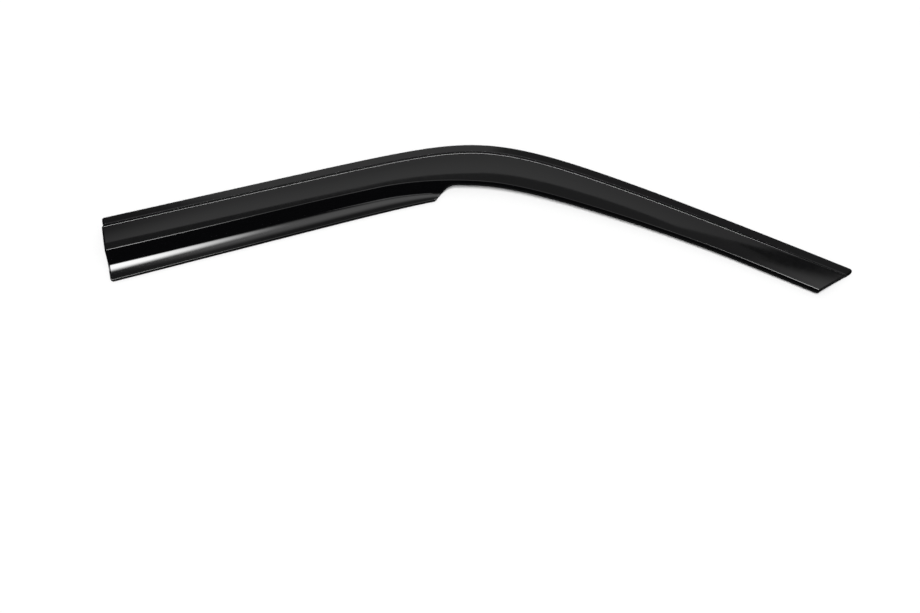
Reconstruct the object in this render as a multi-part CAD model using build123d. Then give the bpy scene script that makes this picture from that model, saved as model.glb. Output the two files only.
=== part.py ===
from build123d import *
import os
from math import atan2, cos, hypot, radians, sin, tan

# Rain deflector for a front side window: one formed acrylic sheet, trimmed along a plan outline,
# with a strip of foam tape behind its flange. It lies on the tape with its outer face up:
# X runs from the rear end to the tip, Y from the lip to the top edge, Z up.

# Sheet and tape
sheet = 3.5
tape_thickness = 1.0
tape_width = 8.0
tape_inset = 1.2
tape_end_gap = 9.0

# Top edge in plan: a rear run and a front run, drawn into one soft bend by the three points between them
rear_run = 503.2
front_run = 520.5
rear_angle = 15.4
front_angle = 26.8
rear_shoulder = 34.2
bend_lift = 22.5

# Places along the top edge, from the rear end
shoulder_at = 350.0
bend_at = 500.0
arm_at = 880.0

# Flange, and the ramp that lifts the body off it and fades out towards the tip
flange_width = 11.0
ramp_run = 10.0
ramp_rise = 9.8
tip_ramp_run = 2.0
tip_ramp_rise = 1.0

# Crease: distance from the top edge, rise above the flange, and crown of the body beside it
rear_crease = 59.2
shoulder_crease = 56.0
bend_crease = 65.2
arm_crease = 50.0
rear_crease_rise = 12.6
bend_crease_rise = 11.6
tip_crease_rise = 5.3
crown = 1.2
tip_crown = 0.2

# Visor: a wall falling from the crease, then a flare whose outer half lies level out to the lip
wall_slope = 45.0
flare_slope = 4.0
rear_lip = 96.4
front_lip = 83.4
lip_gap = 1.0
valley_share = 0.4
flare_share = 0.55

# Trimmed outline
visor_end = 423.0
notch_run = 24.0
arm_return = 4.5
tip_return = 2.5
rear_cut_lean = 1.2
tip_cut_lean = 30.0

# Radii of the folds, on the outer face, and of the outline's corners
foot_radius = 1.5
ramp_top_radius = 4.5
crown_spread = 0.6
crease_radius = 4.5
flange_corner_radius = 3.0
lip_corner_radius = 4.0
visor_corner_radius = 2.5
notch_radius = 30.0
tip_corner_radius = 4.0
rim_radius = 1.2

# Working allowances: how far the sheet is formed past its trim, and the spacing of the sections
overrun = 12.0
section_step = 40.0

flange_top = tape_thickness + sheet


def blend(start, end, share):
    # goes from start to end with no slope at either end
    share = min(max(share, 0.0), 1.0)
    return start + (end - start) * share * share * (3.0 - 2.0 * share)


def direction(angle):
    return Vector(cos(radians(angle)), sin(radians(angle)), 0)


# Top edge, with the bend's middle point at the drawing's origin
rear_way = direction(rear_angle)
front_way = direction(-front_angle)
bend_top = Vector(0, bend_lift, 0)
top_edge = Bezier(
    rear_way * -rear_run,
    rear_way * -rear_shoulder,
    Vector(0, 0, 0),
    bend_top,
    bend_top + front_way * front_run,
)
length = top_edge.length


def edge_frame(along):
    # point of the top edge and its direction, carried on straight past both ends
    inside = min(max(along, 0.0), length)
    way = top_edge.tangent_at(inside, PositionMode.LENGTH)
    return top_edge.position_at(inside, PositionMode.LENGTH) + way * (along - inside), way


def plan_point(along, from_edge):
    point, way = edge_frame(along)
    return point + Vector(way.Y, -way.X, 0) * from_edge


def crease_from_edge(along):
    if along < shoulder_at:
        return blend(rear_crease, shoulder_crease, along / shoulder_at)
    if along < bend_at:
        return blend(shoulder_crease, bend_crease, (along - shoulder_at) / (bend_at - shoulder_at))
    return blend(bend_crease, arm_crease, (along - bend_at) / (arm_at - bend_at))


def arm_share(along):
    # 0 up to the bend, 1 at the tip
    return min(max((along - bend_at) / (length - bend_at), 0.0), 1.0)


def lip_from_edge(along):
    if along < visor_end:
        return rear_lip + (front_lip - rear_lip) * along / visor_end
    # past the visor's end, where it is trimmed away, the lip follows the crease
    return front_lip + crease_from_edge(along) - crease_from_edge(visor_end)


def outer_corners(along):
    # corners of the outer face in section, as distance from the top edge and height
    arm = arm_share(along)
    fade = 1.0 - arm * arm
    ramp_end = flange_width + tip_ramp_run + (ramp_run - tip_ramp_run) * fade
    ramp_top = flange_top + tip_ramp_rise + (ramp_rise - tip_ramp_rise) * fade
    crease = crease_from_edge(along)
    rise = rear_crease_rise + (bend_crease_rise - rear_crease_rise) * min(along / bend_at, 1.0)
    crease_top = flange_top + rise + (tip_crease_rise - bend_crease_rise) * arm
    body_crown = crown + (tip_crown - crown) * arm
    lip = lip_from_edge(along)
    lip_top = lip_gap + sheet
    flare = tan(radians(flare_slope))
    wall = tan(radians(wall_slope))
    valley = (crease_top + crease * wall - lip_top - lip * flare) / (wall - flare)
    valley_top = crease_top - (valley - crease) * wall
    half_flare = (lip - valley) / 2
    corners = [
        (-overrun, flange_top),
        (flange_width, flange_top),
        (ramp_end, ramp_top),
        ((ramp_end + crease) / 2, (ramp_top + crease_top) / 2 + body_crown),
        (crease, crease_top),
        (valley, valley_top),
        (valley + half_flare, lip_top),
        (lip + overrun, lip_top),
    ]
    # the crown's round takes the same share of both halves of the body, whatever their width
    half_body = (crease - ramp_end) / 2
    slope = (crease_top - ramp_top) / 2
    crown_turn = atan2(slope + body_crown, half_body) - atan2(slope - body_crown, half_body)
    crown_radius = crown_spread * half_body / tan(crown_turn / 2)
    # the visor's two hollows take their shares of the half flare between them, or of a shorter wall
    wall_length = hypot(valley - crease, crease_top - valley_top)
    flare_turn = atan2(valley_top - lip_top, half_flare)
    valley_turn = radians(wall_slope) - flare_turn
    valley_radius = valley_share * min(half_flare, wall_length) / tan(valley_turn / 2)
    flare_radius = flare_share * half_flare / tan(flare_turn / 2)
    return corners, [foot_radius, ramp_top_radius, crown_radius, crease_radius, valley_radius, flare_radius]


def inner_corners(corners):
    # the same corners carried one sheet inwards, square to both sides of each fold
    sides = [(b[0] - a[0], b[1] - a[1]) for a, b in zip(corners, corners[1:])]
    normals = [(dz / hypot(dx, dz), -dx / hypot(dx, dz)) for dx, dz in sides]
    before = [normals[0]] + normals
    after = normals + [normals[-1]]
    inner = []
    for corner, a, b in zip(corners, before, after):
        reach = sheet / (1.0 + a[0] * b[0] + a[1] * b[1])
        inner.append((corner[0] + (a[0] + b[0]) * reach, corner[1] + (a[1] + b[1]) * reach))
    return inner


def sheet_section(along):
    # closed section of the formed sheet, standing square to the top edge
    corners, radii = outer_corners(along)
    outside = FilletPolyline(corners, radius=radii)
    # the sheet lies outside a hollow fold and inside a raised one
    lies = [sheet, -sheet, -sheet, -sheet, sheet, sheet]
    inside = FilletPolyline(inner_corners(corners), radius=[r + side for r, side in zip(radii, lies)])
    closed = [outside, Line(outside @ 1, inside @ 1), inside, Line(inside @ 0, outside @ 0)]
    point, way = edge_frame(along)
    plane = Plane(origin=point, x_dir=Vector(way.Y, -way.X, 0), z_dir=-way)
    return plane * make_face(closed)


def formed_sheet():
    steps = round(length / section_step)
    places = [length * i / steps for i in range(steps + 1)]
    return loft([sheet_section(along) for along in [-overrun] + places + [length + overrun]])


def trim_prism():
    # the plan outline as an upright block: rear cut, lip, notch, arm edge, tip cut and top edge
    rear_shift = -rear_lip * tan(radians(rear_cut_lean))
    lip_places = [rear_shift + (visor_end - rear_shift) * i / 4 for i in range(5)]
    lip_line = Spline([plan_point(along, lip_from_edge(along)) for along in lip_places])
    notch_end = visor_end + notch_run
    tip_shift = (arm_crease + tip_return) * tan(radians(tip_cut_lean))
    arm_places = [notch_end + (length - tip_shift - notch_end) * i / 6 for i in range(7)]
    arm_points = []
    for along in arm_places:
        past_crease = arm_return + (tip_return - arm_return) * arm_share(along)
        arm_points.append(plan_point(along, crease_from_edge(along) + past_crease))
    arm_line = Spline(arm_points)
    outline = [
        top_edge,
        Line(top_edge @ 1, arm_line @ 1),
        arm_line,
        Line(arm_line @ 0, lip_line @ 1),
        lip_line,
        Line(lip_line @ 0, top_edge @ 0),
    ]
    block = extrude(Pos(0, 0, -overrun) * make_face(outline), amount=6 * overrun)
    corners = [
        (top_edge @ 0, flange_corner_radius),
        (lip_line @ 0, lip_corner_radius),
        (lip_line @ 1, visor_corner_radius),
        (arm_line @ 0, notch_radius),
        (arm_line @ 1, tip_corner_radius),
        (top_edge @ 1, tip_corner_radius),
    ]
    for corner, radius in corners:
        upright = block.edges().filter_by(Axis.Z).sort_by_distance(corner)[0]
        block = fillet(upright, radius)
    return block


def looks_up(face):
    # nought on a trimmed face, which stands upright, more on the outer face and less on the inner one
    return round(face.normal_at().Z, 6)


def round_rim(trimmed):
    # ease the trimmed edge all the way round, on the outer face only
    upright = trimmed.faces().filter_by(lambda face: looks_up(face) == 0)
    outer = trimmed.faces().filter_by(lambda face: looks_up(face) > 0)
    rim = [e for e in upright.edges() if any(e.is_same(other) for other in outer.edges())]
    return fillet(rim, rim_radius)


def tape_strip():
    # foam strip that follows the flange from end to end
    first = tape_end_gap
    last = length - tape_end_gap - tape_width * tan(radians(tip_cut_lean))
    steps = round(length / section_step)
    places = [first + (last - first) * i / steps for i in range(steps + 1)]
    edges = []
    for from_edge in (tape_inset, tape_inset + tape_width):
        edges.append(Spline([plan_point(along, from_edge) for along in places]))
    ends = [Line(edges[0] @ 0, edges[1] @ 0), Line(edges[0] @ 1, edges[1] @ 1)]
    return extrude(make_face(edges + ends), amount=tape_thickness)


outline = trim_prism()
deflector = round_rim(formed_sheet() & outline)
tape = tape_strip()

# Origin at the middle of the footprint, on the surface that the tape lies on
footprint = outline.bounding_box().center()
to_origin = Pos(-footprint.X, -footprint.Y, 0)

os.makedirs("parts", exist_ok=True)
for node, solid in {"deflector": deflector, "mounting_tape": tape}.items():
    placed = to_origin * solid
    placed.label = node
    export_step(placed, f"parts/{node}.step")
    box = placed.bounding_box()
    print(node, "volume", round(placed.volume), "from", box.min, "to", box.max)
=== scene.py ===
# %% [markdown]
# # A window rain deflector, from a flat blank to a glossy part
#
# The real part is one sheet of black acrylic. It is cut flat, heated until it is soft, pressed over a mould
# and trimmed, and a strip of foam tape behind its flange sticks it to the door frame. This lesson makes it
# in the same order, because a mesh that is made the way the part is made gets its folds, its even wall and
# its trimmed edge without any special cases.

# %% [markdown]
# ## The frame
#
# The part's solids come packed as a fixed frame, in metres, with Z up and the table at Z = 0. Everything
# below is placed by that frame. The sizes in this lesson are written in millimetres, as on a drawing, and
# one factor turns them into Blender's metres. The frame's own box is kept, to compare with at the end.

# %% Load the frame
from bisect import bisect
from math import atan2, copysign, cos, hypot, pi, radians, sin, sqrt, tan

import bmesh
import bpy
from mathutils import Matrix, Vector


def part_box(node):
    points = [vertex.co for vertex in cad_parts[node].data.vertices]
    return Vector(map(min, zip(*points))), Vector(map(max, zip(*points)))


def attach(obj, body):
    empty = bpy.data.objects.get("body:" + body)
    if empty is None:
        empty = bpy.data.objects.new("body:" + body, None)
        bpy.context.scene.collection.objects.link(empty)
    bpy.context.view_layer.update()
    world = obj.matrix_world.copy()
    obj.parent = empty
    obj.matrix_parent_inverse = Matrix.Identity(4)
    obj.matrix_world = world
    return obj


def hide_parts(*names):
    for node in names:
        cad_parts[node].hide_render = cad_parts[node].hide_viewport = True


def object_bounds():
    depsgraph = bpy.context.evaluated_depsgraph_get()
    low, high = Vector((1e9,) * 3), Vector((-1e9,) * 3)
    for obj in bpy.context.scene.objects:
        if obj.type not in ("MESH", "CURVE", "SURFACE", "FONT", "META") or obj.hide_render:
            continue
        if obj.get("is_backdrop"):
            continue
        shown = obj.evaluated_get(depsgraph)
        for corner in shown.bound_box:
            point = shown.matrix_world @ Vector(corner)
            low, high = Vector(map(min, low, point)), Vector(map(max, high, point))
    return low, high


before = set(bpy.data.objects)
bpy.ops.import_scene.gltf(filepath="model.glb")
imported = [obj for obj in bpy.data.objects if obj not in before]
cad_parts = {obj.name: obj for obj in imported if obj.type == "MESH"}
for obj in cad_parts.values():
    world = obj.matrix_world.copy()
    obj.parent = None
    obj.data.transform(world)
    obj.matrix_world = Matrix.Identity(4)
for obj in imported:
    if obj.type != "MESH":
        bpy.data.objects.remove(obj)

MM = 0.001
cad_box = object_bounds()
print("nodes", sorted(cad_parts), "box in mm", [[round(v / MM, 1) for v in c] for c in cad_box])

# %% [markdown]
# ## The camera
#
# The part is pictured from above and in front, as it lies on a table. A camera could be placed by eye, but
# here it is set up as a photographer would say it: which point of the table is in the middle of the
# picture, how far away and how steeply the camera looks at it, and how long its lens is.

# %% Camera
IMAGE_WIDTH = 920
FOCAL_PIXELS = 1300
SENSOR_WIDTH = 36
AIM_POINT = Vector((-15.85, -129.72, 0))
AIM_DISTANCE = 1600
LOOK_DOWN = 60.5

camera = bpy.data.objects.new("camera", bpy.data.cameras.new("camera"))
bpy.context.scene.collection.objects.link(camera)
bpy.context.scene.camera = camera
camera.data.sensor_width = SENSOR_WIDTH
camera.data.lens = FOCAL_PIXELS * SENSOR_WIDTH / IMAGE_WIDTH
line_of_sight = Vector((0, cos(radians(LOOK_DOWN)), -sin(radians(LOOK_DOWN))))
camera.location = (AIM_POINT - line_of_sight * AIM_DISTANCE) * MM
camera.rotation_euler = (radians(90 - LOOK_DOWN), 0, 0)
print("camera at", [round(v, 3) for v in camera.location], "with a lens of", round(camera.data.lens, 1), "mm")

# %% [markdown]
# ## The top edge
#
# Every fold of the part follows its top edge: two long runs, nearly straight, that flow into one soft bend.
# A Bezier curve with five poles draws that with no seam between line and arc. Places on the part are then
# given by two numbers, as a tape measure gives them: how far along the edge, and how far in from it. So the
# curve is measured once, in short steps, and asked for a point and a direction at any length.

# %% Top edge by length
REAR_RUN = 503.2
FRONT_RUN = 520.5
REAR_ANGLE = 15.4
FRONT_ANGLE = 26.8
REAR_SHOULDER = 34.2
BEND_LIFT = 22.5
MEASURED_STEPS = 800

rear_way = Vector((cos(radians(REAR_ANGLE)), sin(radians(REAR_ANGLE))))
front_way = Vector((cos(radians(FRONT_ANGLE)), -sin(radians(FRONT_ANGLE))))
bend_top = Vector((0, BEND_LIFT))
poles = [rear_way * -REAR_RUN, rear_way * -REAR_SHOULDER, Vector((0, 0)), bend_top]
poles.append(bend_top + front_way * FRONT_RUN)


def bezier(points, share):
    # halves the row of points by one until a single point is left
    while len(points) > 1:
        points = [a.lerp(b, share) for a, b in zip(points, points[1:])]
    return points[0]


edge_lengths = [0.0]
for step in range(MEASURED_STEPS):
    hop = bezier(poles, (step + 1) / MEASURED_STEPS) - bezier(poles, step / MEASURED_STEPS)
    edge_lengths.append(edge_lengths[-1] + hop.length)
edge_length = edge_lengths[-1]


def edge_frame(along):
    # point of the top edge and its direction, carried on straight past both ends
    inside = min(max(along, 0.0), edge_length)
    step = min(bisect(edge_lengths, inside), MEASURED_STEPS) - 1
    rest = (inside - edge_lengths[step]) / (edge_lengths[step + 1] - edge_lengths[step])
    share = (step + rest) / MEASURED_STEPS
    way = bezier([b - a for a, b in zip(poles, poles[1:])], share).normalized()
    return bezier(poles, share) + way * (along - inside), way


print("top edge", round(edge_length, 1), "mm long")

# %% [markdown]
# ## Crease and lip
#
# Two lines run beside the top edge: the crease, where the body ends, and the lip, where the visor ends.
# They are not quite parallel to the edge. The crease comes nearer to it along the rear half, swings out at
# the bend and comes in again along the arm. A few distances, with smooth steps between them, follow both
# lines.

# %% Crease and lip
SHOULDER_AT = 350.0
BEND_AT = 500.0
ARM_AT = 880.0
REAR_CREASE = 59.2
SHOULDER_CREASE = 56.0
BEND_CREASE = 66.4
ARM_CREASE = 50.5
VISOR_END = 423.0
REAR_LIP = 96.4
FRONT_LIP = 83.4


def smooth_blend(start, end, share):
    share = min(max(share, 0.0), 1.0)
    return start + (end - start) * share * share * (3.0 - 2.0 * share)


def crease_from_edge(along):
    if along < SHOULDER_AT:
        return smooth_blend(REAR_CREASE, SHOULDER_CREASE, along / SHOULDER_AT)
    if along < BEND_AT:
        return smooth_blend(SHOULDER_CREASE, BEND_CREASE, (along - SHOULDER_AT) / (BEND_AT - SHOULDER_AT))
    return smooth_blend(BEND_CREASE, ARM_CREASE, (along - BEND_AT) / (ARM_AT - BEND_AT))


def arm_share(along):
    # 0 up to the bend, 1 at the tip
    return min(max((along - BEND_AT) / (edge_length - BEND_AT), 0.0), 1.0)


def lip_from_edge(along):
    if along < VISOR_END:
        return REAR_LIP + (FRONT_LIP - REAR_LIP) * along / VISOR_END
    # past the visor's end, where it is trimmed away, the lip follows the crease
    return FRONT_LIP + crease_from_edge(along) - crease_from_edge(VISOR_END)


for place in (0.0, VISOR_END, edge_length):
    print("at", round(place), "mm along, the crease is", round(crease_from_edge(place), 1), "mm in")

# %% [markdown]
# ## The outer face in section
#
# Cut across anywhere, the sheet shows the same folds: a flat flange, a ramp up to the body, a body that is
# crowned a little, a crease, and a wall that falls into the hollow of a visor, which flares out until it
# lies level at its lip. Only their sizes change along the part. So a section is written as the corners of a
# bent strip and one radius for each corner. The folds are tighter than in the frame's solid, where a fillet
# needs room for the sheet inside it, because a tight fold is what mirrors a lamp as a thin line.

# %% Outer face in section
SHEET = 3.5
FLANGE_WIDTH = 11.0
FLANGE_LIFT = 0.38
LIFT_FROM = 440.0
LIFT_TO = 600.0
RAMP_RUN = 10.0
RAMP_RISE = 9.8
TIP_RAMP_RUN = 2.0
TIP_RAMP_RISE = 1.0
REAR_CREASE_RISE = 12.6
BEND_CREASE_RISE = 11.6
TIP_CREASE_RISE = 5.3
CROWN = 1.2
TIP_CROWN = 0.2
CROWN_SPREAD = 0.6
WALL_SLOPE = 45.0
FLARE_SLOPE = 4.0
LIP_GAP = 1.0
FOOT_RADIUS = 0.05
RAMP_TOP_RADIUS = 3.0
CREASE_RADIUS = 2.5
VALLEY_SHARE = 0.4
FLARE_SHARE = 0.55
BEYOND = 12.0

tape_low, tape_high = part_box("mounting_tape")
flange_top = (tape_high.z - tape_low.z) / MM + SHEET


def outer_strip(along):
    # corners of the outer face, as distance from the top edge and height, and the radius of each fold
    arm = arm_share(along)
    fade = 1.0 - arm * arm
    ramp_end = FLANGE_WIDTH + TIP_RAMP_RUN + (RAMP_RUN - TIP_RAMP_RUN) * fade
    ramp_top = flange_top + TIP_RAMP_RISE + (RAMP_RISE - TIP_RAMP_RISE) * fade
    crease = crease_from_edge(along)
    rise = REAR_CREASE_RISE + (BEND_CREASE_RISE - REAR_CREASE_RISE) * min(along / BEND_AT, 1.0)
    crease_top = flange_top + rise + (TIP_CREASE_RISE - BEND_CREASE_RISE) * arm
    crown = CROWN + (TIP_CROWN - CROWN) * arm
    lip = lip_from_edge(along)
    lip_top = LIP_GAP + SHEET
    flare = tan(radians(FLARE_SLOPE))
    wall = tan(radians(WALL_SLOPE))
    valley = (crease_top + crease * wall - lip_top - lip * flare) / (wall - flare)
    valley_top = crease_top - (valley - crease) * wall
    half_flare = (lip - valley) / 2
    # along the arm the flange leans up a little towards its edge
    lift = smooth_blend(0.0, FLANGE_LIFT, (along - LIFT_FROM) / (LIFT_TO - LIFT_FROM))
    corners = [
        (-BEYOND, flange_top + lift * (FLANGE_WIDTH + BEYOND) / FLANGE_WIDTH),
        (FLANGE_WIDTH, flange_top),
        (ramp_end, ramp_top),
        ((ramp_end + crease) / 2, (ramp_top + crease_top) / 2 + crown),
        (crease, crease_top),
        (valley, valley_top),
        (valley + half_flare, lip_top),
        (lip + BEYOND, lip_top),
    ]
    half_body = (crease - ramp_end) / 2
    climb = (crease_top - ramp_top) / 2
    crown_turn = atan2(climb + crown, half_body) - atan2(climb - crown, half_body)
    crown_radius = CROWN_SPREAD * half_body / tan(crown_turn / 2)
    wall_length = hypot(valley - crease, crease_top - valley_top)
    flare_turn = atan2(valley_top - lip_top, half_flare)
    valley_turn = radians(WALL_SLOPE) - flare_turn
    valley_radius = VALLEY_SHARE * min(half_flare, wall_length) / tan(valley_turn / 2)
    flare_radius = FLARE_SHARE * half_flare / tan(flare_turn / 2)
    return corners, [FOOT_RADIUS, RAMP_TOP_RADIUS, crown_radius, CREASE_RADIUS, valley_radius, flare_radius]


print("radii of the folds at the rear end", [round(radius, 2) for radius in outer_strip(0.0)[1]])

# %% [markdown]
# ## The inner face in section
#
# A sheet keeps its thickness where it bends, so the inner face is the same strip, one sheet further in.
# Each corner is carried in square to both of its sides. The radius of a hollow fold grows by the sheet and
# that of a raised fold shrinks by it, until only a sharp inner corner is left.

# %% Inner face in section
LEAST_RADIUS = 0.3


def inner_strip(along):
    corners, radii = outer_strip(along)
    sides = [(b[0] - a[0], b[1] - a[1]) for a, b in zip(corners, corners[1:])]
    normals = [(dz / hypot(dx, dz), -dx / hypot(dx, dz)) for dx, dz in sides]
    inner = []
    for corner, a, b in zip(corners, normals[:1] + normals, normals + normals[-1:]):
        reach = SHEET / (1.0 + a[0] * b[0] + a[1] * b[1])
        inner.append((corner[0] + (a[0] + b[0]) * reach, corner[1] + (a[1] + b[1]) * reach))
    # the foot, the valley and the flare are hollow, the ramp's top, the crown and the crease are raised
    lies = (SHEET, -SHEET, -SHEET, -SHEET, SHEET, SHEET)
    return inner, [max(radius + side, LEAST_RADIUS) for radius, side in zip(radii, lies)]


print("and of the inner face", [round(radius, 2) for radius in inner_strip(0.0)[1]])

# %% [markdown]
# ## The height of the sheet
#
# The press needs one thing from a section: how high the sheet is at any distance from the top edge. It is
# read off the arc that lies there, or else off the straight between two corners. Arcs by formula keep every
# row of the mesh exactly on the fold, however many rows there are.

# %% Height of the sheet
def folds_of(strip):
    # each fold as an arc: where it starts and ends, its centre, its radius, and 1 if hollow or -1 if raised
    corners, radii = strip
    folds = []
    for before, corner, after, radius in zip(corners, corners[1:], corners[2:], radii):
        slope_in = atan2(corner[1] - before[1], corner[0] - before[0])
        slope_out = atan2(after[1] - corner[1], after[0] - corner[0])
        side = copysign(1.0, slope_out - slope_in)
        reach = radius * tan(abs(slope_out - slope_in) / 2)
        start = corner[0] - reach * cos(slope_in)
        end = corner[0] + reach * cos(slope_out)
        centre_height = corner[1] - reach * sin(slope_in) + side * radius * cos(slope_in)
        folds.append((start, end, start - side * radius * sin(slope_in), centre_height, radius, side))
    return folds


def height_at(strip, folds, from_edge):
    for start, end, centre, centre_height, radius, side in folds:
        if start <= from_edge <= end:
            return centre_height - side * sqrt(radius**2 - (from_edge - centre) ** 2)
    corners = strip[0]
    k = min(max(bisect([c[0] for c in corners], from_edge), 1), len(corners) - 1)
    a, b = corners[k - 1], corners[k]
    return a[1] + (b[1] - a[1]) * (from_edge - a[0]) / (b[0] - a[0])


for place in (0.0, BEND_AT, edge_length):
    strip = outer_strip(place)
    crease_height = height_at(strip, folds_of(strip), crease_from_edge(place))
    print("crease", round(crease_height, 1), "mm high at", round(place), "mm along")

# %% [markdown]
# ## The trimmed outline
#
# Along its lower side the sheet is trimmed to the visor's lip over the rear half. A notch then runs up to a
# slim arm, which keeps only a short return below the crease. The two ends are cut straight, square at the
# rear and slanted at the tip. All of that is one distance from the top edge and one lean for each end.

# %% Outline
VISOR_CORNER = 1.6
NOTCH_AT = 425.8
NOTCH_RUN = 37.0
NOTCH_POWER = 2.4
ARM_RETURN = 2.4
TIP_RETURN = 2.0
REAR_CUT_LEAN = 1.2
TIP_CUT_LEAN = 30.0
FLANGE_CORNER = 3.0
LIP_CORNER = 4.0
TIP_POINT_CORNER = 7.0
TIP_HEEL_CORNER = 2.3


def lower_edge(along):
    # how far the notch has run: nothing along the visor, with a soft start that rounds the visor's corner
    past_visor = along - NOTCH_AT
    notch_run = (past_visor + hypot(past_visor, VISOR_CORNER)) / 2
    left = max(1.0 - notch_run / NOTCH_RUN, 0.0)
    arm_edge = crease_from_edge(along) + ARM_RETURN + (TIP_RETURN - ARM_RETURN) * arm_share(along)
    return arm_edge + (lip_from_edge(along) - arm_edge) * left**NOTCH_POWER


def rear_cut(from_edge):
    return -from_edge * tan(radians(REAR_CUT_LEAN))


def tip_cut(from_edge):
    return edge_length - from_edge * tan(radians(TIP_CUT_LEAN))


def round_corner(from_end, from_side, size):
    # a square corner of that size bent round into an arc, ring by ring, so that lines beside it stay parallel
    if from_end >= size or from_side >= size:
        return from_end, from_side
    a, b = 1.0 - from_end / size, 1.0 - from_side / size
    ring = max(a, b)
    turn = pi / 4 * min(a, b) / ring if ring else 0.0
    a, b = (ring * cos(turn), ring * sin(turn)) if a >= b else (ring * sin(turn), ring * cos(turn))
    return (1.0 - a) * size, (1.0 - b) * size


for place in (0.0, VISOR_END, (VISOR_END + edge_length) / 2):
    print("at", round(place), "mm along, the sheet is", round(lower_edge(place), 1), "mm wide")

# %% [markdown]
# ## The blank
#
# A flat grid stands for the blank. Its rows will become the lines of the folds and its columns the
# sections, so rows crowd together where the sheet bends and columns where the notch runs and at both ends.
# The grid is extruded while it is still flat: that gives the outer face, the inner face and a wall between
# them all round, already sewn together. Each vertex only has to remember its column and row.

# %% Blank
RIM_RING = 1.7
SHADED_END_BORDER = 2.4
SHADED_END_COLUMNS = 2
REAR_CORNER_END = 9.0
NOTCH_FROM = 405.0
NOTCH_TO = 475.0
TIP_CORNER_LENGTH = 12.0
# columns from the rear end to the tip and rows from the top edge to the lip, stretch by stretch
COLUMN_STRETCHES = (1, 1, 5, 99, 44, 110, 7, 1, 1)
ROW_STRETCHES = (1, 6, 4, 3, 6, 3, 9, 3, 7, 30, 1)

tip_ends = [edge_length - from_tip for from_tip in (TIP_CORNER_LENGTH, SHADED_END_BORDER, RIM_RING, 0.0)]
stretch_ends = [0.0, RIM_RING, SHADED_END_BORDER, REAR_CORNER_END, NOTCH_FROM, NOTCH_TO] + tip_ends
column_places = [0.0]
for start, end, count in zip(stretch_ends, stretch_ends[1:], COLUMN_STRETCHES):
    column_places += [start + (end - start) * (k + 1) / count for k in range(count)]
row_places = [(0, 0.0)]
for stretch, count in enumerate(ROW_STRETCHES):
    row_places += [(stretch, (k + 1) / count) for k in range(count)]

blank = bmesh.new()
bmesh.ops.create_grid(blank, x_segments=len(column_places) - 1, y_segments=len(row_places) - 1, size=1)
inner_verts = blank.verts[:]
lifted = bmesh.ops.extrude_face_region(blank, geom=blank.faces[:])["geom"]
outer_verts = [part for part in lifted if isinstance(part, bmesh.types.BMVert)]
# the outermost columns at each end, beside the end cuts, which take the dull finish as a painted dark line,
# while the grid still runs from -1 to 1
column_width = 2 / (len(column_places) - 1)
border_from = 1 - (SHADED_END_COLUMNS - 0.5) * column_width
shaded_end_verts = {vert for vert in outer_verts if abs(vert.co.x) > border_from}
print("blank of", len(column_places), "columns and", len(row_places), "rows,", len(blank.faces), "faces")

# %% [markdown]
# ## The press
#
# Pressing carries each vertex to its place: the row says which fold it lies on, the column how far along,
# and the section gives its height. The two leaning end cuts shift a vertex along the edge by how far in it
# lies, which changes its section a little, so its place is worked out twice more from the last one. The
# finished sheet is moved as a whole to the corner where the frame has the same part.

# %% Press
PASSES = 3


def row_marks(folds, edge):
    # where the stretches of rows start and end, as distances from the top edge
    foot, ramp_top, crown, crease = folds[:4]
    last = edge - RIM_RING
    crease_end = min(crease[1], (crease[0] + last) / 2)
    marks = [0.0, RIM_RING, foot[0], foot[1], ramp_top[0], ramp_top[1], crown[0], crown[1]]
    return marks + [crease[0], crease_end, last, edge]


def pressed(vert, strip_at):
    column = round((vert.co.x + 1) / 2 * (len(column_places) - 1))
    stretch, share = row_places[round((1 - vert.co.y) / 2 * (len(row_places) - 1))]
    along = column_places[column]
    for turn in range(PASSES):
        edge = lower_edge(along)
        marks = row_marks(folds_of(strip_at(along)), edge)
        from_edge = marks[stretch] + (marks[stretch + 1] - marks[stretch]) * share
        span = tip_cut(from_edge) - rear_cut(from_edge)
        along = rear_cut(from_edge) + span * column_places[column] / edge_length
    from_rear, from_tip = along - rear_cut(from_edge), tip_cut(from_edge) - along
    from_rear, from_edge = round_corner(from_rear, from_edge, FLANGE_CORNER)
    from_rear, from_lip = round_corner(from_rear, edge - from_edge, LIP_CORNER)
    from_tip, from_edge = round_corner(from_tip, edge - from_lip, TIP_POINT_CORNER)
    from_tip, from_lip = round_corner(from_tip, edge - from_edge, TIP_HEEL_CORNER)
    from_edge = edge - from_lip
    near_tip = from_tip < from_rear
    along = tip_cut(from_edge) - from_tip if near_tip else rear_cut(from_edge) + from_rear
    strip = strip_at(along)
    point, way = edge_frame(along)
    plan = point + Vector((way.y, -way.x)) * from_edge
    return Vector((plan.x, plan.y, height_at(strip, folds_of(strip), from_edge))) * MM


places = [(vert, pressed(vert, outer_strip)) for vert in outer_verts]
places += [(vert, pressed(vert, inner_strip)) for vert in inner_verts]
for vert, place in places:
    vert.co = place
node_low, node_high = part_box("deflector")
seat = [min(vert.co[axis] for vert in blank.verts) for axis in range(2)]
bmesh.ops.translate(blank, verts=blank.verts, vec=(node_low.x - seat[0], node_low.y - seat[1], 0))
reach = [max(vert.co[axis] for vert in blank.verts) / MM for axis in range(3)]
print("pressed sheet reaches", [round(v, 2) for v in reach])
print("the frame's node reaches", [round(v / MM, 2) for v in node_high])
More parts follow.
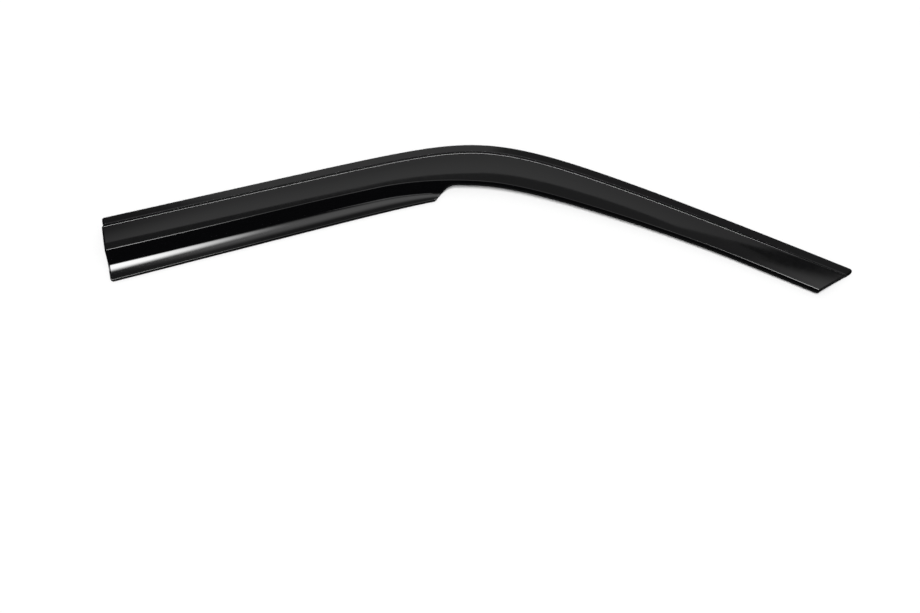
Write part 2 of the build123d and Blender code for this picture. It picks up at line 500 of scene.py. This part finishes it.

# %% [markdown]
# ## The trimmed edge
#
# After trimming, the edge is broken with a scraper, and the polish of the face runs on over the upper part
# of that rounding, so it catches a thin line of light. A bevel rounds it: generously on the outer face,
# hardly at all on the inner one. What is steeper gets the dull finish of the wall round the sheet, partly
# because a routed edge never shines like the face and partly as painted shade. At the two ends all of the
# rounding and a narrow border of the face beside it get that finish too: a painted dark line that closes
# the part off.

# %% Rounded rim
RIM_RADIUS = 1.0
RIM_STEPS = 6
INNER_BREAK = 0.4
BREAK_STEPS = 2
POLISHED_DOWN_TO = 60
ENDS_POLISHED_DOWN_TO = 5
TIP_FROM = 420
FACING_SHARE = 0.85
SHARP_ANGLE = 35
POLISHED, TRIMMED_AND_SHADED = 0, 1

tip_facing = Matrix.Rotation(radians(-TIP_CUT_LEAN), 2) @ front_way


def polished_down_to(face):
    # a face belongs to an end cut if it looks nearly the way that the cut does
    sideways = face.normal.xy.normalized()
    at_tip = face.calc_center_median().x > TIP_FROM * MM and sideways.dot(tip_facing) > FACING_SHARE
    at_rear = sideways.dot(-rear_way) > FACING_SHARE
    return ENDS_POLISHED_DOWN_TO if at_tip or at_rear else POLISHED_DOWN_TO


outer_set = set(outer_verts)
walls = [face for face in blank.faces if 0 < sum(vert in outer_set for vert in face.verts) < len(face.verts)]
# a narrow border of the polished face at each end takes the dull finish: a painted dark line
painted_dark_borders = [face for face in blank.faces if not shaded_end_verts.isdisjoint(face.verts)]
for face in walls + painted_dark_borders:
    face.material_index = TRIMMED_AND_SHADED
wall_edges = {edge for wall in walls for edge in wall.edges}
rim = [edge for edge in wall_edges if all(vert in outer_set for vert in edge.verts)]
inner_rim = [edge for edge in wall_edges if not any(vert in outer_set for vert in edge.verts)]
# the steeper part of each rounding takes the dull finish, partly real and partly painted shade
for edges, radius, steps in ((rim, RIM_RADIUS, RIM_STEPS), (inner_rim, INNER_BREAK, BREAK_STEPS)):
    rounding = bmesh.ops.bevel(
        blank, geom=edges, offset=radius * MM, offset_type="OFFSET", segments=steps, profile=0.5,
        affect="EDGES", material=-1, clamp_overlap=False, loop_slide=True,
    )
    for face in rounding["faces"]:
        steepest = radians(polished_down_to(face))
        face.material_index = POLISHED if face.normal.z > cos(steepest) else TRIMMED_AND_SHADED
for face in blank.faces:
    face.smooth = True
deflector = bpy.data.objects.new("deflector_sheet", bpy.data.meshes.new("deflector_sheet"))
bpy.context.scene.collection.objects.link(deflector)
blank.to_mesh(deflector.data)
blank.free()
deflector.data.set_sharp_from_angle(angle=radians(SHARP_ANGLE))
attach(deflector, "root")
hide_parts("deflector")
print("deflector_sheet", len(deflector.data.vertices), "vertices,", len(deflector.data.polygons), "faces")

# %% [markdown]
# ## Colour and nodes
#
# Colours are written as on a colour card, in sRGB hex, and turned to linear light in one place. One small
# function adds a node with its settings and links, which keeps a material readable as a list of what it
# does.

# %% Helpers for materials
WHITE = "#ffffff"
ACRYLIC_BLACK = "#040405"


def linear(hex_colour):
    shares = [int(hex_colour[k : k + 2], 16) / 255 for k in (1, 3, 5)]
    return [s / 12.92 if s <= 0.04045 else ((s + 0.055) / 1.055) ** 2.4 for s in shares] + [1.0]


def add_node(tree, kind, settings=None, in_order=(), **inputs):
    node = tree.nodes.new(kind)
    for name, value in (settings or {}).items():
        setattr(node, name, value)
    sockets = list(zip(node.inputs, in_order))
    sockets += [(node.inputs[name.replace("_", " ")], value) for name, value in inputs.items()]
    for socket, value in sockets:
        if isinstance(value, bpy.types.NodeSocket):
            tree.links.new(value, socket)
        else:
            socket.default_value = value
    return node


def new_material(name):
    material = bpy.data.materials.new(name)
    material.use_nodes = True
    material.node_tree.nodes.clear()
    return material, material.node_tree


print("black of the sheet in linear light", [round(v, 4) for v in linear(ACRYLIC_BLACK)[:3]])

# %% [markdown]
# ## Polished acrylic
#
# Cast acrylic is coloured right through and leaves the press with the polish of its mould. It is nearly
# black in itself, so all that the eye gets from it is what it mirrors: about four parts in a hundred of the
# light, and more at a slant, as its refractive index of 1.49 gives. Two things keep it from looking like
# glass. The sheet is heated and cools unevenly, which leaves slow waves about 40 mm long and a few
# hundredths of a millimetre deep, and handling leaves a faint haze. The waves are a bump and the haze
# changes the roughness.

# %% Black acrylic
ACRYLIC_IOR = 1.49
WAVE_LENGTH = 40
WAVE_DEPTH = 0.03
HAZE_SIZE = 6
HAZE_ROUGHNESS = (0.05, 0.08)
# nearly all of a noise lies in this span
NOISE_LOW = 0.3
NOISE_HIGH = 0.7

polished, tree = new_material("black_acrylic")
place = add_node(tree, "ShaderNodeTexCoord").outputs["Object"]
waves = add_node(tree, "ShaderNodeTexNoise", Vector=place, Scale=1 / (WAVE_LENGTH * MM), Detail=1.0)
bump = add_node(tree, "ShaderNodeBump", Height=waves.outputs["Fac"], Distance=WAVE_DEPTH * MM)
haze = add_node(tree, "ShaderNodeTexNoise", Vector=place, Scale=1 / (HAZE_SIZE * MM), Detail=5.0)
roughness = add_node(
    tree, "ShaderNodeMapRange", Value=haze.outputs["Fac"], From_Min=NOISE_LOW, From_Max=NOISE_HIGH,
    To_Min=HAZE_ROUGHNESS[0], To_Max=HAZE_ROUGHNESS[1],
)
shader = add_node(
    tree, "ShaderNodeBsdfPrincipled", Base_Color=linear(ACRYLIC_BLACK), IOR=ACRYLIC_IOR,
    Roughness=roughness.outputs["Result"], Normal=bump.outputs["Normal"],
)
add_node(tree, "ShaderNodeOutputMaterial", Surface=shader.outputs["BSDF"])
deflector.data.materials.append(polished)
print("acrylic with waves of", WAVE_LENGTH, "mm and a roughness of", HAZE_ROUGHNESS)

# %% [markdown]
# ## Routed edge
#
# The outline is cut with a router after forming. Its cutter leaves fine upright marks, less than a
# millimetre apart, which keep the edge dull even after a scraper has gone round it. Its gloss is also turned
# down almost to nothing, and that is painted shade: the edge stays near black instead of mirroring the white
# table. The marks stand upright because the cutter does, so their pattern is stretched along Z. They are
# drawn at 0.8 mm, a little coarser than real ones, so that a close view still shows them.

# %% Routed edge
MARK_WIDTH = 0.8
MARK_HEIGHT = 8
MARK_DEPTH = 0.01
MARK_ROUGHNESS = (0.4, 0.55)
# gloss turned down almost to nothing: painted shade that keeps the edge near black
SHADED_EDGE_GLOSS = 0.02

routed, tree = new_material("routed_edge_painted_shade")
place = add_node(tree, "ShaderNodeTexCoord").outputs["Object"]
stretch = (1 / (MARK_WIDTH * MM), 1 / (MARK_WIDTH * MM), 1 / (MARK_HEIGHT * MM))
across = add_node(tree, "ShaderNodeMapping", Vector=place, Scale=stretch)
marks = add_node(tree, "ShaderNodeTexNoise", Vector=across.outputs["Vector"], Scale=1.0, Detail=2.0)
bump = add_node(tree, "ShaderNodeBump", Height=marks.outputs["Fac"], Distance=MARK_DEPTH * MM)
roughness = add_node(
    tree, "ShaderNodeMapRange", Value=marks.outputs["Fac"], From_Min=NOISE_LOW, From_Max=NOISE_HIGH,
    To_Min=MARK_ROUGHNESS[0], To_Max=MARK_ROUGHNESS[1],
)
shader = add_node(
    tree, "ShaderNodeBsdfPrincipled", Base_Color=linear(ACRYLIC_BLACK), IOR=ACRYLIC_IOR,
    Specular_IOR_Level=SHADED_EDGE_GLOSS, Roughness=roughness.outputs["Result"], Normal=bump.outputs["Normal"],
)
add_node(tree, "ShaderNodeOutputMaterial", Surface=shader.outputs["BSDF"])
deflector.data.materials.append(routed)
print("routed edge with marks of", MARK_WIDTH, "mm in slot", TRIMMED_AND_SHADED)

# %% [markdown]
# ## Foam tape
#
# The strip behind the flange is closed-cell foam with adhesive on both faces. It is soft, matte and a warm
# charcoal beside the acrylic. Its cells are a little over half a millimetre wide, and a Voronoi pattern
# draws them in painted light: a painted highlight on the cell walls and painted shade in the hollows. The
# strip is the frame's own solid, which is already the right shape, so it only gets this finish.

# %% Foam tape
CELL_SIZE = 0.6
CELL_DEPTH = 0.08
CELL_HOLLOW_SHADE = "#1b1a1b"
CELL_WALL_HIGHLIGHT = "#353335"
FOAM_ROUGHNESS = 0.95
FOAM_IOR = 1.45

foam, tree = new_material("closed_cell_foam")
place = add_node(tree, "ShaderNodeTexCoord").outputs["Object"]
cells = add_node(tree, "ShaderNodeTexVoronoi", Vector=place, Scale=1 / (CELL_SIZE * MM))
# painted shade in the cell hollows and a painted highlight on the cell walls
colour = add_node(tree, "ShaderNodeValToRGB", Fac=cells.outputs["Distance"])
colour.color_ramp.elements[0].color = linear(CELL_HOLLOW_SHADE)
colour.color_ramp.elements[1].color = linear(CELL_WALL_HIGHLIGHT)
bump = add_node(tree, "ShaderNodeBump", Height=cells.outputs["Distance"], Distance=CELL_DEPTH * MM)
shader = add_node(
    tree, "ShaderNodeBsdfPrincipled", Base_Color=colour.outputs["Color"], Roughness=FOAM_ROUGHNESS,
    IOR=FOAM_IOR, Normal=bump.outputs["Normal"],
)
add_node(tree, "ShaderNodeOutputMaterial", Surface=shader.outputs["BSDF"])
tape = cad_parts["mounting_tape"]
tape.data.materials.clear()
tape.data.materials.append(foam)
print("foam with cells of", CELL_SIZE, "mm")

# %% [markdown]
# ## The table and its light
#
# The part lies on white paper. Light comes from all round, with a soft main light from above and a little
# from the camera's side, so the paper is plain white and the shadow is only a narrow soft band under the
# edges that stand off it. A lamp close by would light one end more than the other, so the main light is a
# sun with a wide angle, and the world gives the rest. Together they light the paper to just above its own
# colour, so that it comes out plain white. The world is white to the camera and to reflections, and dimmer
# only as a lamp.

# %% Table, sun and world
SKY_SHARE = 0.25
SUN_SHARE = 0.79
SUN_LEAN = 22
SUN_ANGLE = 40
TABLE_SIZE = 12
FIBRE_SIZE = 2
FIBRE_SHADE = "#fcfcfc"

bpy.context.scene.view_settings.view_transform = "Standard"
paper, tree = new_material("white_paper")
place = add_node(tree, "ShaderNodeTexCoord").outputs["Object"]
fibres = add_node(tree, "ShaderNodeTexNoise", Vector=place, Scale=1 / (FIBRE_SIZE * MM), Detail=4.0)
colour = add_node(tree, "ShaderNodeValToRGB", Fac=fibres.outputs["Fac"])
colour.color_ramp.elements[0].color = linear(FIBRE_SHADE)
colour.color_ramp.elements[1].color = linear(WHITE)
shader = add_node(tree, "ShaderNodeBsdfDiffuse", Color=colour.outputs["Color"])
add_node(tree, "ShaderNodeOutputMaterial", Surface=shader.outputs["BSDF"])
table_top = bmesh.new()
bmesh.ops.create_grid(table_top, x_segments=1, y_segments=1, size=TABLE_SIZE / 2)
table = bpy.data.objects.new("table", bpy.data.meshes.new("table"))
bpy.context.scene.collection.objects.link(table)
table_top.to_mesh(table.data)
table_top.free()
table.data.materials.append(paper)
table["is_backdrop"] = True

sun = bpy.data.objects.new("main_light", bpy.data.lights.new("main_light", "SUN"))
bpy.context.scene.collection.objects.link(sun)
sun.data.energy = SUN_SHARE * pi / cos(radians(SUN_LEAN))
sun.data.angle = radians(SUN_ANGLE)
sun.rotation_euler = (radians(SUN_LEAN), 0, 0)
sun.visible_glossy = False

world = bpy.data.worlds.new("studio")
bpy.context.scene.world = world
world.use_nodes = True
tree = world.node_tree
tree.nodes.clear()
path = add_node(tree, "ShaderNodeLightPath").outputs
add = {"operation": "ADD"}
seen = add_node(tree, "ShaderNodeMath", add, (path["Is Camera Ray"], path["Is Glossy Ray"]))
seen = add_node(tree, "ShaderNodeMath", add, (seen.outputs[0], path["Is Transmission Ray"]))
level = add_node(tree, "ShaderNodeMapRange", Value=seen.outputs[0], To_Min=SKY_SHARE, To_Max=1.0)
sky = add_node(tree, "ShaderNodeBackground", Color=linear(WHITE), Strength=level.outputs["Result"])
add_node(tree, "ShaderNodeOutputWorld", Surface=sky.outputs["Background"])
print("sun of", round(sun.data.energy, 2), "and sky of", SKY_SHARE, "give", SKY_SHARE + SUN_SHARE, "in all")

# %% [markdown]
# ## Cards for the gloss
#
# A black glossy part is photographed by what it mirrors, so a studio hangs cards round it. Two metres up, a
# softbox with its lamp at the rear end draws the long highlight in the visor, which fades as the part turns
# away from the lamp. A white card further back gives the body its grey, and the unlit strip between the two
# gives the dark band along the crease. Small softboxes light the tip and the arm's crease, a strip light low
# at the back draws the line along the ramp, and black cloth over and behind the camera keeps the visor's
# wall black. The cards are only seen in gloss: they are hidden from the camera, cast no shadow and add no
# light to the paper.

# %% Cards
CARD_HEIGHT = 2.0
CARD_GAP = 0.01


def new_card(width, depth, middle, spin):
    card = bmesh.new()
    bmesh.ops.create_grid(card, x_segments=1, y_segments=1, size=0.5)
    bmesh.ops.scale(card, vec=(width, depth, 1), verts=card.verts)
    bmesh.ops.rotate(card, cent=(0, 0, 0), matrix=spin, verts=card.verts)
    bmesh.ops.translate(card, vec=middle, verts=card.verts)
    return card


def end_with_light(tree, strength):
    # the last nodes of each card's material: white light of that strength, a number or a node's output
    shine = add_node(tree, "ShaderNodeEmission", Color=linear(WHITE), Strength=strength)
    add_node(tree, "ShaderNodeOutputMaterial", Surface=shine.outputs["Emission"])


def hang_card(name, card, material):
    piece = bpy.data.objects.new(name, bpy.data.meshes.new(name))
    bpy.context.scene.collection.objects.link(piece)
    card.to_mesh(piece.data)
    card.free()
    piece.data.materials.append(material)
    piece.visible_camera = False
    piece.visible_diffuse = False
    piece.visible_shadow = False
    piece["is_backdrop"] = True
    corners = [Vector(corner) for corner in piece.bound_box]
    middle = sum(corners, Vector()) / len(corners)
    print(name, "hangs with its middle at", [round(v, 2) for v in middle])


level_spin = Matrix.Identity(3)
upright_spin = Matrix.Rotation(radians(90), 3, "X")
print("cards hang", CARD_HEIGHT, "m up, and those that overlap are", CARD_GAP, "m apart")

# %% [markdown]
# The softbox is one cloth with three lights behind it: a faint even glow in its middle, the lamp, strong
# and with soft edges, and a little spill over the arm that ends short of the tip. Each light is a product of
# ramps over the cloth, and the three are added to what the unlit cloth gives back. A ramp has an axis, the
# place in metres where it is dark, the place where it is full, and its strength there.

# %% Softbox
SOFTBOX_FRONT = 0.05
SOFTBOX_BACK = 1.5
UNLIT_CLOTH = 0.18
SPILL = 0.08
GLOW = 1.5
LAMP = 24.0
GLOW_RAMPS = (("Y", 0.1, 0.8, GLOW), ("Y", 1.25, 0.86, 1), ("X", -1.05, -0.6, 1), ("X", 0.3, 0, 1))
LAMP_RAMPS = (("X", -0.34, -0.82, LAMP), ("Y", 0.18, 0.42, 1), ("Y", 0.84, 0.6, 1))
SPILL_RAMPS = (("X", -0.35, 0, SPILL), ("X", 1.25, 1.0, 1))
SOFTBOX_WIDTH = 5.0

softbox, tree = new_material("softbox_cloth")
place = add_node(tree, "ShaderNodeTexCoord").outputs["Object"]
axes = add_node(tree, "ShaderNodeSeparateXYZ", Vector=place).outputs
ramp = {"interpolation_type": "SMOOTHSTEP"}
multiply = {"operation": "MULTIPLY"}
strength = UNLIT_CLOTH
for ramps in (GLOW_RAMPS, LAMP_RAMPS, SPILL_RAMPS):
    product = 1.0
    for axis, dark_at, full_at, full in ramps:
        settings = {"From_Min": dark_at, "From_Max": full_at, "To_Max": full}
        step = add_node(tree, "ShaderNodeMapRange", ramp, Value=axes[axis], **settings)
        product = add_node(tree, "ShaderNodeMath", multiply, (product, step.outputs["Result"])).outputs[0]
    strength = add_node(tree, "ShaderNodeMath", add, (strength, product)).outputs[0]
end_with_light(tree, strength)
softbox_depth = SOFTBOX_BACK - SOFTBOX_FRONT
middle = (0, SOFTBOX_FRONT + softbox_depth / 2, CARD_HEIGHT)
hang_card("softbox", new_card(SOFTBOX_WIDTH, softbox_depth, middle, level_spin), softbox)

# %% [markdown]
# The white card is no lamp, yet it glows: its glow is painted light, brightest at its near edge as if it
# caught the softbox's light there, and dimmer away from it and towards its ends. Its near edge is bent,
# further back over the bend of the part and further forward over the arm, because the dark band is wider
# there and narrower here. Its corner over the tip is cut off along a seam.

# %% White card
CARD_NEAR = 0.84
CARD_FAR = 0.53
CARD_FRONT = 1.375
CARD_DIMMED = 2.4
CARD_BACK = 3.4
CARD_WIDTH = 6.0
REAR_FADE = (-2.0, -0.85)
ARM_FADE = (1.2, 0.1)
ARM_DIMMED = 0.72
REAR_BEND = -0.3
ARM_BEND = 0.1
BEND_IN = 0.095
ARM_SLOPE = -0.345
SEAM_SLOPE = 0.77
SEAM_AT = 0.71
BELOW = CARD_HEIGHT - CARD_GAP

white_card, tree = new_material("white_card")
place = add_node(tree, "ShaderNodeTexCoord").outputs["Object"]
axes = add_node(tree, "ShaderNodeSeparateXYZ", Vector=place).outputs
# painted light: the card's glow stands for the softbox's light falling on it
away = add_node(
    tree, "ShaderNodeMapRange", Value=axes["Y"], From_Min=CARD_FRONT, From_Max=CARD_DIMMED,
    To_Min=CARD_NEAR, To_Max=CARD_FAR,
)
rear_end = add_node(
    tree, "ShaderNodeMapRange", ramp, Value=axes["X"], From_Min=REAR_FADE[0], From_Max=REAR_FADE[1]
)
arm_end = add_node(
    tree, "ShaderNodeMapRange", ramp, Value=axes["X"], From_Min=ARM_FADE[0], From_Max=ARM_FADE[1],
    To_Min=ARM_DIMMED,
)
ends = add_node(tree, "ShaderNodeMath", multiply, (rear_end.outputs["Result"], arm_end.outputs["Result"]))
strength = add_node(tree, "ShaderNodeMath", multiply, (away.outputs["Result"], ends.outputs[0]))
end_with_light(tree, strength.outputs[0])


def cut_card(card, point, normal, drop_outer):
    everything = card.verts[:] + card.edges[:] + card.faces[:]
    bmesh.ops.bisect_plane(card, geom=everything, plane_co=point, plane_no=normal, clear_outer=drop_outer)


middle = (0, (CARD_FRONT + CARD_BACK) / 2, BELOW)
card = new_card(CARD_WIDTH, CARD_BACK - CARD_FRONT, middle, level_spin)
for bend in (REAR_BEND, ARM_BEND):
    cut_card(card, (bend, 0, 0), (1, 0, 0), False)
for corner in card.verts:
    if corner.co.y < middle[1] and corner.co.x > (REAR_BEND + ARM_BEND) / 2:
        corner.co.y += BEND_IN + ARM_SLOPE * (corner.co.x - ARM_BEND)
cut_card(card, (0, SEAM_AT, BELOW), (SEAM_SLOPE, -1, 0), True)
hang_card("white_card", card, white_card)

# %% [markdown]
# The strip light stands on the floor at the back. It fades out towards the tip, where the ramp runs out.

# %% Strip light
STRIP = 13.0
STRIP_AT = 4.3
STRIP_TOP = 0.75
STRIP_WIDTH = 12
STRIP_FADE = (2.75, 2.2)
STRIP_LEFT = 0.1

strip_light, tree = new_material("strip_light")
place = add_node(tree, "ShaderNodeTexCoord").outputs["Object"]
axes = add_node(tree, "ShaderNodeSeparateXYZ", Vector=place).outputs
fade = add_node(
    tree, "ShaderNodeMapRange", ramp, Value=axes["X"], From_Min=STRIP_FADE[0], From_Max=STRIP_FADE[1],
    To_Min=STRIP_LEFT, To_Max=STRIP,
)
end_with_light(tree, fade.outputs["Result"])
middle = (0, STRIP_AT, STRIP_TOP / 2)
hang_card("strip_light", new_card(STRIP_WIDTH, STRIP_TOP, middle, upright_spin), strip_light)

# %% [markdown]
# The softbox over the tip is turned, so that one edge follows the seam of the white card. It is dim along
# that edge and soon grows bright further in, which makes the glow of the tip fade out towards the body's
# dark band. How far in a point lies is its place measured along one direction: a dot product.

# %% Tip softbox
TIP_DIM = 0.12
TIP_GLOW = 1.15
TIP_FADE = 0.0865
TIP_SLOPE = 0.785
TIP_CORNER = Vector((0.93, 1.258, BELOW))
TIP_WIDTH = 1.4
TIP_DEPTH = 1.0

tip_spin = Matrix.Rotation(atan2(TIP_SLOPE, 1), 3, "Z")
inwards = tip_spin @ Vector((0, -1, 0))
tip_softbox, tree = new_material("tip_softbox")
place = add_node(tree, "ShaderNodeTexCoord").outputs["Object"]
depth = add_node(tree, "ShaderNodeVectorMath", {"operation": "DOT_PRODUCT"}, (place, inwards))
dim_at = TIP_CORNER.dot(inwards)
glow = add_node(
    tree, "ShaderNodeMapRange", Value=depth.outputs["Value"], From_Min=dim_at, From_Max=dim_at + TIP_FADE,
    To_Min=TIP_DIM, To_Max=TIP_GLOW,
)
end_with_light(tree, glow.outputs["Result"])
tip_middle = TIP_CORNER + tip_spin @ Vector((TIP_WIDTH, -TIP_DEPTH, 0)) / 2
hang_card("tip_softbox", new_card(TIP_WIDTH, TIP_DEPTH, tip_middle, tip_spin), tip_softbox)

# %% [markdown]
# The other cards are plain, with one strength each. A bright one draws the line along the arm's crease near
# the tip, and a dim one beside it carries the line on towards the bend. Cloth hangs over and behind the
# camera, and a greyer cloth behind the other cards, so that the gaps between them are dark.

# %% Plain cards
EDGE_GLOW = 15.0
EDGE_SIZE = 0.75
EDGE_MIDDLE = (0.8, 0.05, BELOW)
FILL_GLOW = 1.5
FILL_WIDTH = 0.4
CLOTH_GLOW = 0.02
CLOTH_WIDTH = 8
CLOTH_DEPTH = 4
CLOTH_TOP = 2.6
GAP_GLOW = 0.1
ABOVE = CARD_HEIGHT + CARD_GAP


def plain_light(name, strength):
    material, tree = new_material(name)
    end_with_light(tree, strength)
    return material


edge_card = new_card(EDGE_SIZE, EDGE_SIZE, EDGE_MIDDLE, level_spin)
hang_card("edge_softbox", edge_card, plain_light("edge_softbox", EDGE_GLOW))
fill_middle = (EDGE_MIDDLE[0] - (EDGE_SIZE + FILL_WIDTH) / 2, EDGE_MIDDLE[1], BELOW)
fill_card = new_card(FILL_WIDTH, EDGE_SIZE, fill_middle, level_spin)
hang_card("edge_fill", fill_card, plain_light("edge_fill", FILL_GLOW))
black_cloth = plain_light("black_cloth", CLOTH_GLOW)
over_camera = (0, SOFTBOX_FRONT - CLOTH_DEPTH / 2, CARD_HEIGHT)
hang_card("cloth_over_camera", new_card(CLOTH_WIDTH, CLOTH_DEPTH, over_camera, level_spin), black_cloth)
behind_camera = (0, SOFTBOX_FRONT - CLOTH_DEPTH, CARD_HEIGHT / 2)
hang_card("cloth_behind_camera", new_card(CLOTH_WIDTH, CARD_HEIGHT, behind_camera, upright_spin), black_cloth)
grey_cloth = plain_light("grey_cloth", GAP_GLOW)
in_gaps = (0, CARD_BACK / 2, ABOVE)
hang_card("cloth_in_gaps", new_card(CLOTH_WIDTH, CARD_BACK, in_gaps, level_spin), grey_cloth)
over_strip = (0, STRIP_AT, (STRIP_TOP + CLOTH_TOP) / 2)
strip_cloth = new_card(STRIP_WIDTH, CLOTH_TOP - STRIP_TOP, over_strip, upright_spin)
hang_card("cloth_over_strip", strip_cloth, grey_cloth)

# %% [markdown]
# ## The measure
#
# Last, the dressed part is measured against the frame's own box. They should agree to a fraction of a
# millimetre, because the lesson's sheet is the same part with a finer surface.

# %% Measure
visual_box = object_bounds()
for cad_corner, visual_corner in zip(cad_box, visual_box):
    print("corner differs by", [round((v - c) / MM, 2) for c, v in zip(cad_corner, visual_corner)], "mm")
